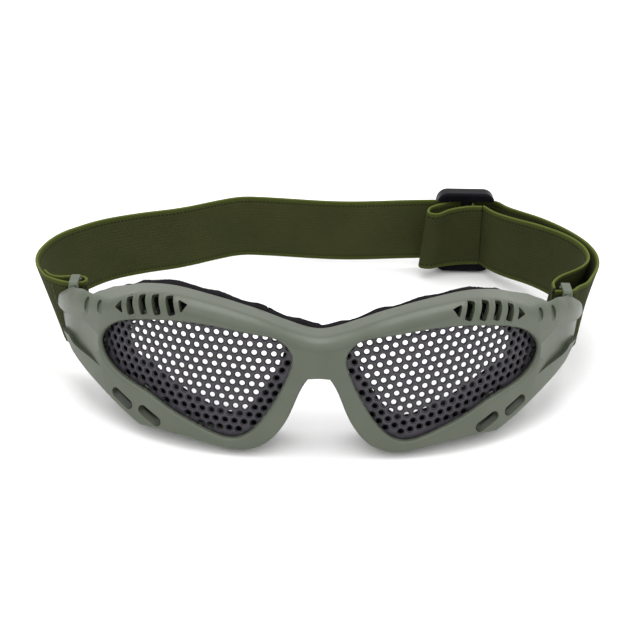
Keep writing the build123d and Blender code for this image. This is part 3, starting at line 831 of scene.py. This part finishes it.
def webbing_section():
    """Closed section of the webbing: distance from its bottom edge, and distance from its middle."""
    half = STRAP_THICK / 2
    profile = []
    for k in range(STATIONS + 1):
        across = STRAP_WIDTH * k / STATIONS
        inset = min(across, STRAP_WIDTH - across)
        if inset < EDGE_ROOM:
            thick = half * (0.25 + 0.75 * math.sqrt(max(1 - (1 - inset / EDGE_ROOM) ** 2, 0.0)))
        else:
            thick = half - RIB_RISE * (0.5 - 0.5 * math.cos(2 * math.pi * (inset - EDGE_ROOM) / RIB_PITCH))
        profile.append((across, thick))
    return profile + [(across, -thick) for across, thick in reversed(profile)]


def webbing_strip(name, points, step, bottom, droop):
    """Elastic webbing from the route of its top edge, the place of its bottom edge and its droop."""
    top = rounded_route(points, step)
    low = [bottom(p) for p in top]
    low_ways, top_ways = directions(low), directions(top)
    ring = webbing_section()
    size = len(ring)
    verts, faces, uvs = [], [], []
    travelled = 0.0
    for i, spot in enumerate(top):
        if i:
            travelled += (spot - top[i - 1]).length
        height = STRAP_BOTTOM + droop(spot)
        for across, thick in ring:
            share = across / STRAP_WIDTH
            place = low[i].lerp(spot, share) + low_ways[i].lerp(top_ways[i], share) * thick
            verts.append(STRAP @ Vector((place.x, place.y, height + across)))
            uvs.append((travelled, across))
    for i in range(len(top) - 1):
        for k in range(size):
            a, b = i * size + k, i * size + (k + 1) % size
            faces.append((a, a + size, b + size, b))
    walls = len(faces)
    faces += [tuple(range(size)), tuple(reversed(range(len(verts) - size, len(verts))))]
    piece = mesh_piece(name, verts, faces, WEBBING_LIT, WEBBING_SHARP)
    piece.data.materials.append(WEBBING_SHADED)
    layer = piece.data.uv_layers.new(name="strap")
    for loop in piece.data.loops:
        layer.data[loop.index].uv = uvs[loop.vertex_index]
    for number, face in enumerate(piece.data.polygons):
        # Faces on one side of the section take the copy with painted shade
        face.material_index = 1 if number < walls and number % size > STATIONS else 0
    return piece


def end_loop_route():
    """Route of the strap's end round the slider's centre bar and back."""
    layer = STRAP_THICK / 2
    rear = -(layer + STRAP_GAP) - layer
    front = rear - layer - STRAP_GAP - SLIDER_PLATE - STRAP_GAP - layer
    right = SLIDER_BAR / 2 + STRAP_GAP + layer
    route = [(right + SLIDER_BAR, front - layer), (1.0 * MM, front - 0.6 * MM),
             (-LOOP_TIP * 0.45, front - SLIDER_BAR), (-LOOP_TIP * 0.82, front - 2.5 * SLIDER_BAR),
             (-LOOP_TIP * 1.08, front - 2.1 * SLIDER_BAR), (-LOOP_TIP * 1.02, front - 0.6 * SLIDER_BAR),
             (-LOOP_TIP * 0.45, rear - SLIDER_PLATE * 0.4), (0, rear), (right, rear), (right, front + layer)]
    return [Vector((SLIDER_X + x, STRAP_REACH + y)) for x, y in route]


def stitch_row(name, start, end, out, material):
    """Short raised stitches in a row between two strap-frame points."""
    points, faces = [], []
    run = (end - start) / STITCHES
    beside = out.cross(run).normalized()
    for k in range(STITCHES):
        first = len(points)
        for i in range(STITCH_RINGS + 1):
            t = i / STITCH_RINGS
            centre = start + run * (k + STITCH_SHARE * t) + out * math.sin(math.pi * t) * STITCH_LIFT
            fat = STITCH_RADIUS * (0.35 + 0.65 * math.sin(math.pi * (0.08 + 0.84 * t)))
            for j in range(STITCH_SIDES):
                angle = 2 * math.pi * j / STITCH_SIDES
                points.append(STRAP @ (centre + (out * math.cos(angle) + beside * math.sin(angle)) * fat))
        for i in range(STITCH_RINGS):
            for j in range(STITCH_SIDES):
                a = first + i * STITCH_SIDES + j
                b = first + i * STITCH_SIDES + (j + 1) % STITCH_SIDES
                faces.append((a, a + STITCH_SIDES, b + STITCH_SIDES, b))
        faces.append(tuple(range(first, first + STITCH_SIDES)))
        faces.append(tuple(reversed(range(len(points) - STITCH_SIDES, len(points)))))
    return mesh_piece(name, points, faces, material, STITCH_SHARP)


# Foam

BROW_RISE = 16.4 * MM
LOBE_DROP = 34.2 * MM
# Outline of the frame in shares of the half span and of the brow's rise or the lobe's drop
BROW_SHARES = [(0, 0.28), (0.093, 0.40), (0.239, 0.70), (0.384, 0.905), (0.52, 1.0), (0.632, 0.92),
               (0.70, 0.77), (0.757, 0.64), (0.82, 0.60), (0.875, 0.60), (0.92, 0.54)]
LOBE_SHARES = [(0.038, -0.262), (0.057, -0.34), (0.100, -0.614), (0.140, -0.80), (0.19, -0.93),
               (0.29, -1.0), (0.39, -0.956), (0.54, -0.898), (0.644, -0.888), (0.723, -0.76),
               (0.803, -0.614), (0.889, -0.456)]
BRIDGE_DROP = -0.25
SHELL_DEPTH = 12.0 * MM
FOAM_DEPTH = SHELL_DEPTH + 0.25 * MM
FOAM_THICK = 5.0 * MM
FOAM_BAND = 11.0 * MM
FOAM_LAP = 2.2 * MM
FOAM_INSET = 1.2 * MM
FOAM_SEAM = 17.0 * MM
FOAM_END_LEFT = 70.0 * MM
FOAM_END_RIGHT = 68.0 * MM
CHEEK_FROM = 0.2 * MM
CHEEK_END = 75.0 * MM
FOAM_WINDOW_END = 64.0 * MM
FOAM_STEPS = 4
# The foam's top line against the brow line, in millimetres: above it, then down towards the temple
TOP_ABOVE = 0.1
TEMPLE_DROP = 2.6
TEMPLE_FROM = 48
TEMPLE_OVER = 26
LEFT_DROP = 0.7
# Foam behind the vents, below the foam's top line
VENT_FOAM_DEPTH = 6.6 * MM
VENT_FOAM_X = (40 * MM, 68.5 * MM)
VENT_FOAM_BELOW = (9.5 * MM, 2.2 * MM)
VENT_FOAM_GRID = (39 * MM, 69 * MM)
# The grid that foam is cut from, and how it is evened out
FOAM_CELL = 0.6 * MM
FOAM_ROOM = 1.1
FOAM_SNAP = 1.05
FOAM_VOXEL = 0.5 * MM
EASE_FACTOR = 0.5
EASE_ROUNDS = 7


def face_depth(x, z, depth):
    """Worn-frame point at a depth behind the front face, seen at x from the front."""
    beyond = abs(x) - BRIDGE_HALF
    if beyond <= 0:
        return Vector((x, depth, z))
    radius = FACE_RADIUS - depth
    return Vector((x, FACE_RADIUS - math.sqrt(max(radius ** 2 - beyond ** 2, 0.0)), z))


def foam_piece(name, inside, x_low, x_high, material, top_line=None, depth=FOAM_DEPTH):
    """Foam strip where a front-view test holds, with soft, slightly swollen edges."""
    bottom = -LOBE_DROP
    columns = int((x_high - x_low) / FOAM_CELL)
    rows = int((BROW_RISE * FOAM_ROOM - bottom) / FOAM_CELL)
    kept = {}
    for i in range(columns):
        for j in range(rows):
            if inside(x_low + (i + 0.5) * FOAM_CELL, bottom + (j + 0.5) * FOAM_CELL):
                kept[(i, j)] = True
    points, index, faces = [], {}, []

    def corner(i, j, layer):
        if (i, j, layer) not in index:
            index[(i, j, layer)] = len(points)
            x, z = x_low + i * FOAM_CELL, bottom + j * FOAM_CELL
            if top_line and z > top_line(x) - FOAM_SNAP * FOAM_CELL:
                z = top_line(x)
            points.append(WORN @ face_depth(x, z, depth + layer * FOAM_THICK))
        return index[(i, j, layer)]

    walls = ((-1, 0, (0, 1), (0, 0)), (1, 0, (1, 0), (1, 1)),
             (0, -1, (0, 0), (1, 0)), (0, 1, (1, 1), (0, 1)))
    for i, j in kept:
        faces.append((corner(i, j, 0), corner(i + 1, j, 0), corner(i + 1, j + 1, 0), corner(i, j + 1, 0)))
        faces.append((corner(i, j, 1), corner(i, j + 1, 1), corner(i + 1, j + 1, 1), corner(i + 1, j, 1)))
        for across, up, a, b in walls:
            if (i + across, j + up) not in kept:
                start, end = (i + a[0], j + a[1]), (i + b[0], j + b[1])
                faces.append((corner(*end, 0), corner(*start, 0), corner(*start, 1), corner(*end, 1)))
    piece = mesh_piece(name, points, faces, material)
    remesh = piece.modifiers.new("even", "REMESH")
    remesh.mode = "VOXEL"
    remesh.voxel_size = FOAM_VOXEL
    smooth = piece.modifiers.new("ease", "SMOOTH")
    smooth.factor = EASE_FACTOR
    smooth.iterations = EASE_ROUNDS
    bpy.context.view_layer.update()
    graph = bpy.context.evaluated_depsgraph_get()
    made = bpy.data.meshes.new_from_object(piece.evaluated_get(graph))
    piece.modifiers.clear()
    piece.data = made
    made.shade_smooth()
    return piece


def foam_pieces(material):
    """Foam behind the vents, and the brow and cheek strips by the node that each stands for."""
    window = grown(closed_curve(EYE_CORNERS, FOAM_STEPS), -FOAM_LAP)
    lobe = [Vector((x * HALF_SPAN, z * LOBE_DROP)) for x, z in LOBE_SHARES]
    brow = [Vector((x * HALF_SPAN, z * BROW_RISE)) for x, z in reversed(BROW_SHARES)]
    outer = grown([Vector((0, BRIDGE_DROP * LOBE_DROP))] + lobe + brow, -FOAM_INSET)

    def open_eye(x, z):
        return abs(x) < FOAM_WINDOW_END and within(Vector((abs(x), z)), window)

    def brow_top(x):
        line = eased(BROW_LIFTS, abs(x) / HALF_SPAN)[1] * MM
        temple = covered(abs(x) / MM, TEMPLE_FROM, TEMPLE_OVER)
        drop = TEMPLE_DROP * temple * temple * (3 - 2 * temple) + (LEFT_DROP if x > 0 else 0.0)
        return line + (TOP_ABOVE - drop) * MM

    def brow_side(x, z):
        return brow_top(x) - FOAM_BAND < z < brow_top(x) and not open_eye(x, z)

    def cheek_side(x, z):
        below = z < brow_top(x) - FOAM_BAND and abs(x) > CHEEK_FROM
        return below and within(Vector((abs(x), z)), outer) and not open_eye(x, z)

    def vent_side(x, z):
        low, high = (brow_top(x) - below for below in VENT_FOAM_BELOW)
        return VENT_FOAM_X[0] < abs(x) < VENT_FOAM_X[1] and low < z < high

    near, far = VENT_FOAM_GRID
    for name, low, high in (("vent_foam_right", -far, -near), ("vent_foam_left", near, far)):
        behind_vents = foam_piece(name, vent_side, low, high, material, None, VENT_FOAM_DEPTH)
        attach(behind_vents, "root")
    brow_right = foam_piece("brow_foam_right", brow_side, -FOAM_END_RIGHT, -FOAM_SEAM, material, brow_top)
    brow_left = foam_piece("brow_foam_left", brow_side, -FOAM_SEAM, FOAM_END_LEFT, material, brow_top)
    cheek_right = foam_piece("cheek_foam_right", cheek_side, -CHEEK_END, 0.0, material)
    cheek_left = foam_piece("cheek_foam_left", cheek_side, 0.0, CHEEK_END, material)
    return {"foam_brow_right": brow_right, "foam_brow_left": brow_left,
            "foam_cheek_right": cheek_right, "foam_cheek_left": cheek_left}


# The goggles
PLASTIC = frame_plastic()
STEEL = mesh_steel()
FOAM = foam_rubber()
# One webbing material made twice, as a painted lit face and a face with painted shade
WEBBING_LIT = webbing("webbing, lit face", LIT_FACE_SHADES)
WEBBING_SHADED = webbing("webbing, shaded face", SHADED_FACE_SHADES)
SLIDER = slider_plastic()
THREAD = thread()
PAPER = floor_paper()

shell = moulded_frame(PLASTIC)
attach(shell, "root")
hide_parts("frame_shell")
soften(shell, FRAME_EDGE)
for name, side in SIDES:
    tab = bar_bridge("bar_bridge_" + name, side, PLASTIC)
    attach(tab, "root")
    lips = vent_lips("vent_lips_" + name, side, shell, PLASTIC)
    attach(lips, "root")

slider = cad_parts["strap_slider"]
slider.data.materials.clear()
slider.data.materials.append(SLIDER)
soften(slider, SLIDER_EDGE, 3)

for name, side in SIDES:
    made = panel("eye_panel_" + name, side, ROWS_ANGLES[name], STEEL)
    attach(made, "root")
    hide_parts("lens_mesh_" + name)

for node, made in foam_pieces(FOAM).items():
    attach(made, "root")
    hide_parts(node)

# The outer layer ends where it has gone round the left post, and the inner layer starts there
band_points = routed(LEFT_LOOP + LEFT_ROUTE + RIGHT_ROUTE) + POST_BEND[:4]
band = webbing_strip("strap_webbing", band_points, BAND_STEP, band_bottom, sagging)
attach(band, "root")
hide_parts("strap_band")

inner_points = [POST_BEND[3].lerp(POST_BEND[4], INNER_SHARE), POST_BEND[4]] + routed(INNER_ROUTE)
inner = webbing_strip("strap_inner_layer", inner_points, BAND_STEP, inner_bottom, sagging)
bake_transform(inner)

end_loop = webbing_strip("strap_end_webbing", end_loop_route(), LOOP_STEP, loop_bottom, tipping)
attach(end_loop, "slider")
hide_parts("strap_end_loop")

for name, place, out, lean, body in SEAMS:
    top = Vector(place) * MM
    low = top.lerp(band_bottom(top), lean)
    foot = Vector((low.x, low.y, STRAP_BOTTOM + SEAM_MARGIN))
    head = Vector((top.x, top.y, STRAP_BOTTOM + STRAP_WIDTH - SEAM_MARGIN))
    row = stitch_row(name, foot, head, Vector((*out, 0)), THREAD)
    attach(row, body)

# Floor, light and camera
FLOOR_REACH = 6.0
floor_corners = [(x * FLOOR_REACH, y * FLOOR_REACH, 0) for x, y in ((-1, -1), (1, -1), (1, 1), (-1, 1))]
floor = mesh_piece("floor", floor_corners, [(0, 1, 2, 3)], PAPER)

# Soft boxes: place and size in metres, power in watts
AIM = (0, 0, 0.03)
LIGHTS = (("key", (-0.45, -0.75, 0.95), 1.5, 5.5),
          ("fill", (0.9, -0.5, 0.6), 1.5, 3.5),
          ("top", (0.0, 0.25, 1.1), 1.0, 9.0))
for name, place, size, power in LIGHTS:
    data = bpy.data.lights.new(name, "AREA")
    data.shape = "SQUARE"
    data.size = size
    data.energy = power
    lamp = bpy.data.objects.new(name, data)
    lamp.location = place
    lamp.rotation_euler = (Vector(AIM) - Vector(place)).to_track_quat("-Z", "Y").to_euler()
    bpy.context.scene.collection.objects.link(lamp)

WORLD_STRENGTH = 0.95
world = bpy.data.worlds.new("room")
bpy.context.scene.world = world
world.use_nodes = True
world.node_tree.nodes["Background"].inputs["Color"].default_value = (1.0, 1.0, 1.0, 1.0)
world.node_tree.nodes["Background"].inputs["Strength"].default_value = WORLD_STRENGTH

# The photo's camera, in the worn frame: lens, height angle, roll, distance and place of the bridge
PHOTO_PIXELS = 640
FOCAL_PIXELS = 1443.0
SENSOR = 36.0
CAMERA_RISE = math.radians(20.0)
CAMERA_ROLL = math.radians(1.0)
CAMERA_DISTANCE = 457.0 * MM
BRIDGE_BELOW_CENTRE = 35.0

view = Vector((0, math.cos(CAMERA_RISE), -math.sin(CAMERA_RISE)))
up = Vector((0, math.sin(CAMERA_RISE), math.cos(CAMERA_RISE)))
right = Vector((1, 0, 0))
eye = up * (BRIDGE_BELOW_CENTRE * CAMERA_DISTANCE / FOCAL_PIXELS) - view * CAMERA_DISTANCE
screen_right = right * math.cos(CAMERA_ROLL) + up * math.sin(CAMERA_ROLL)
screen_up = up * math.cos(CAMERA_ROLL) - right * math.sin(CAMERA_ROLL)
turn = Matrix((screen_right, screen_up, -view)).transposed().to_4x4()
camera_data = bpy.data.cameras.new("camera")
camera_data.sensor_width = SENSOR
camera_data.lens = FOCAL_PIXELS / PHOTO_PIXELS * SENSOR
camera_data.clip_start = 0.01
camera = bpy.data.objects.new("camera", camera_data)
camera.matrix_world = WORN @ Matrix.Translation(eye) @ turn
bpy.context.scene.collection.objects.link(camera)
bpy.context.scene.camera = camera
bpy.context.scene.view_settings.view_transform = "Standard"
